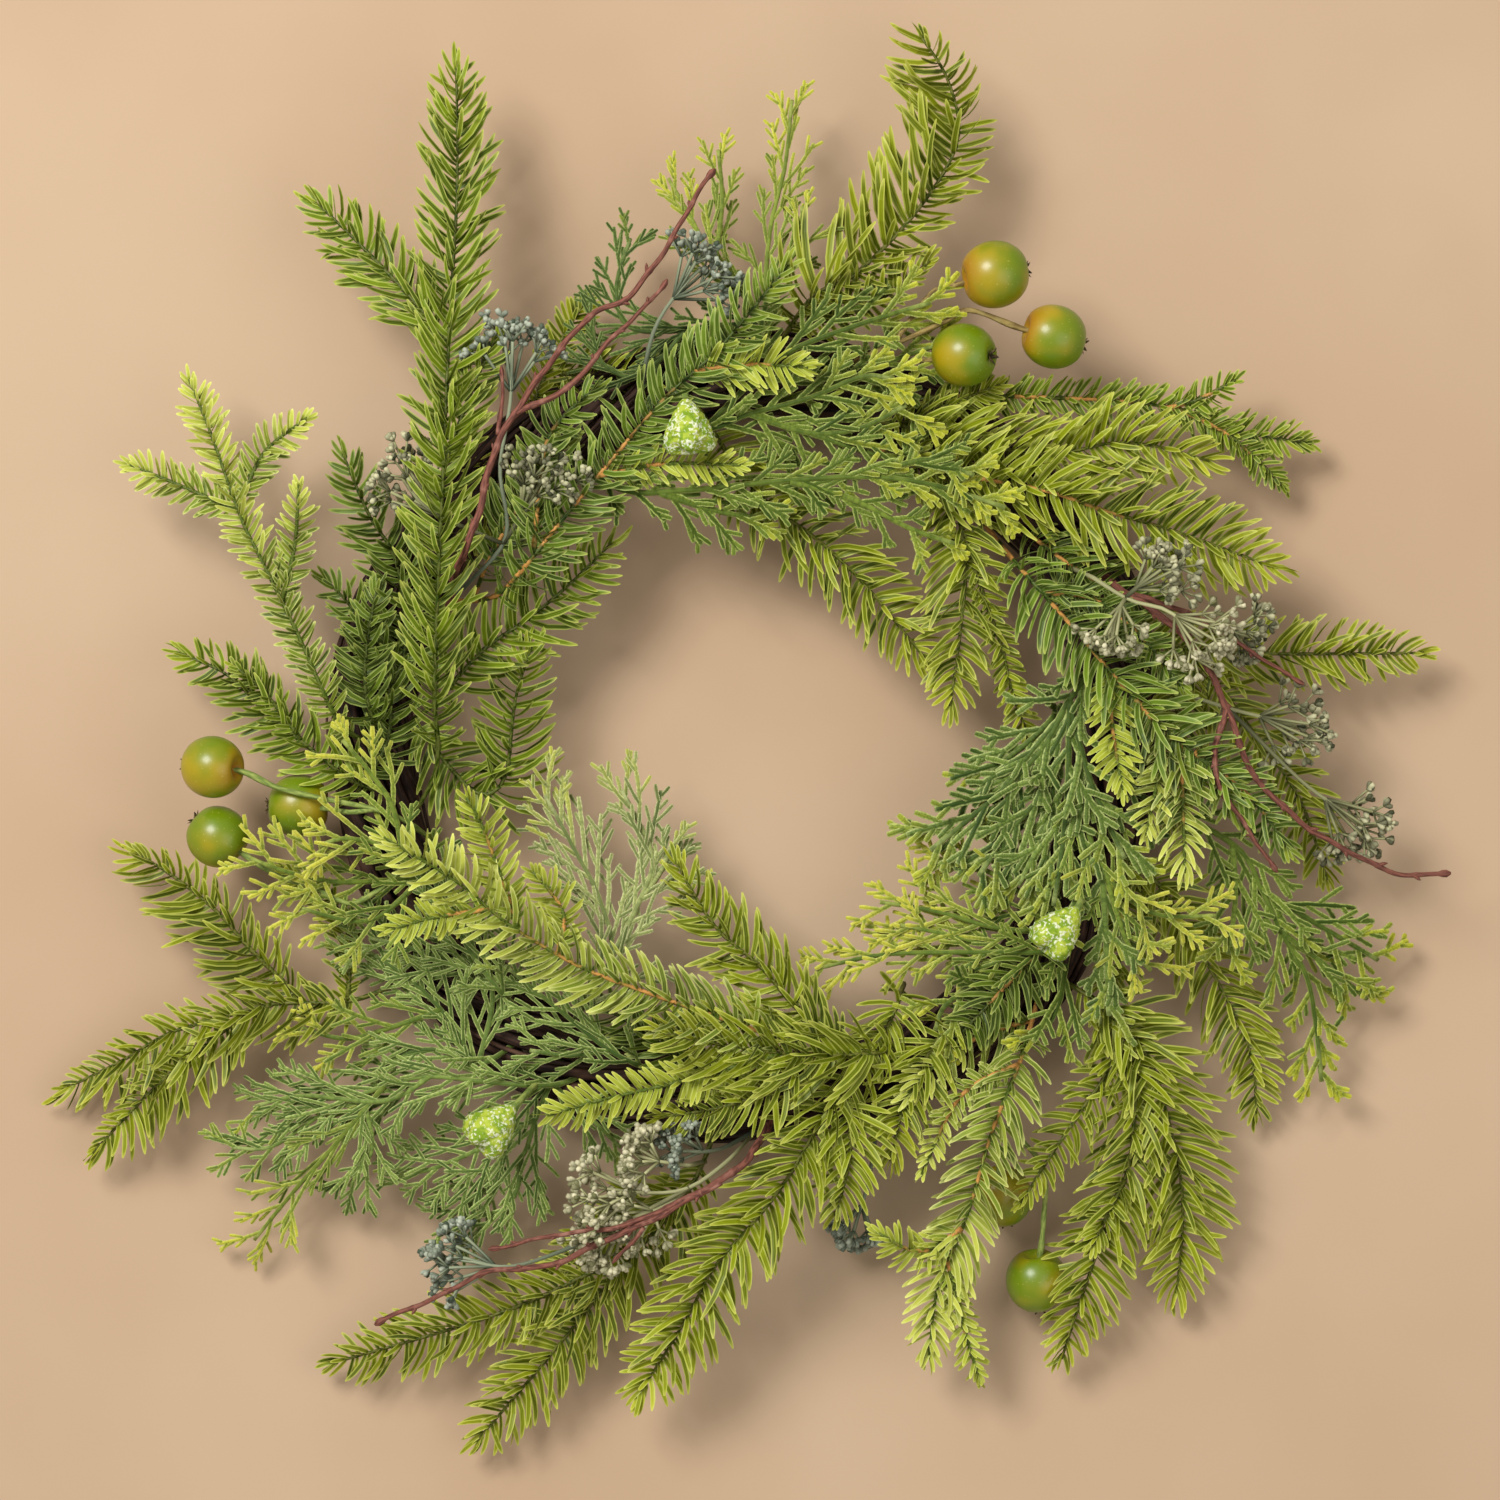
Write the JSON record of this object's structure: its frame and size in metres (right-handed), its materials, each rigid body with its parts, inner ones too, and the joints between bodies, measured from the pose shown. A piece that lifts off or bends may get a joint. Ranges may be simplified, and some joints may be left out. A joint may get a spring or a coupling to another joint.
{
  "type": "fresh evergreen wreath",
  "caption": "Round wreath of fir and cedar sprays on a coiled grapevine ring, with seeded sprigs, red twigs, small cones and crab apples.",
  "frame": {"origin": "under the middle of the whole wreath's box, on the surface it lies on", "axes": "+Z out of the wreath's front, +Y towards its top as hung, +X to the viewer's right"},
  "size_m": [0.602, 0.6136, 0.0865],
  "materials": {
    "grapevine": "rough bark",
    "fir_needles": "satin",
    "cedar_scales": "satin",
    "crab_apple": "glossy skin",
    "green_stalk": "matt",
    "seeded_sprig": "matt",
    "red_twig": "dusty bark",
    "cone": "frosted"
  },
  "bodies": {
    "root": {"vine_1": "grapevine", "vine_2": "grapevine", "vine_3": "grapevine", "vine_4": "grapevine", "apple_top_upper": "crab_apple", "apple_top_lower": "crab_apple", "apple_top_outer": "crab_apple", "apple_left_upper": "crab_apple", "apple_left_lower": "crab_apple", "apple_left_inner": "crab_apple", "apple_bottom_inner": "crab_apple", "apple_bottom_outer": "crab_apple", "cone_top": "cone", "cone_lower_left": "cone", "cone_right": "cone", "apple_stalk_bottom": "green_stalk", "apple_stalk_top": "green_stalk", "fir_left_low": "fir_needles", "fir_behind_top_left": "fir_needles", "fir_right_outer": "fir_needles", "fir_lower_right_back": "fir_needles", "fir_left_shoulder": "fir_needles", "apple_stalk_left": "green_stalk", "seeded_bottom": "seeded_sprig", "fir_bottom_left": "fir_needles", "fir_under_apples": "fir_needles", "cedar_top": "cedar_scales", "fir_bottom_right_fan": "fir_needles", "cedar_bottom_fan": "cedar_scales", "cedar_bottom_left": "cedar_scales", "cedar_left_low": "cedar_scales", "seeded_top": "seeded_sprig", "fir_tall_top": "fir_needles", "fir_inner_left": "fir_needles", "fir_inner_top": "fir_needles", "fir_inner_top_right": "fir_needles", "fir_broad_top_right": "fir_needles", "fir_long_top_right": "fir_needles", "cedar_right_low": "cedar_scales", "cedar_inner_right": "cedar_scales", "cedar_inner_left": "cedar_scales", "fir_bottom_tipped": "fir_needles", "fir_bottom_broad": "fir_needles", "cedar_right_fan": "cedar_scales", "cedar_left_yellow": "cedar_scales", "cedar_tufted_top": "cedar_scales", "cedar_long_top": "cedar_scales", "fir_forked_left": "fir_needles", "fir_orange_top_left": "fir_needles", "fir_orange_right": "fir_needles", "fir_bottom_across": "fir_needles", "seeded_top_left": "seeded_sprig", "fir_tall_left": "fir_needles", "fir_yellow_lower_left": "fir_needles", "red_twig_right": "red_twig", "seeded_right": "seeded_sprig", "seeded_right_outer": "seeded_sprig", "seeded_lower_left": "seeded_sprig", "red_twig_top_left": "red_twig", "red_twig_lower_left": "red_twig"}
  },
  "joints": []
}
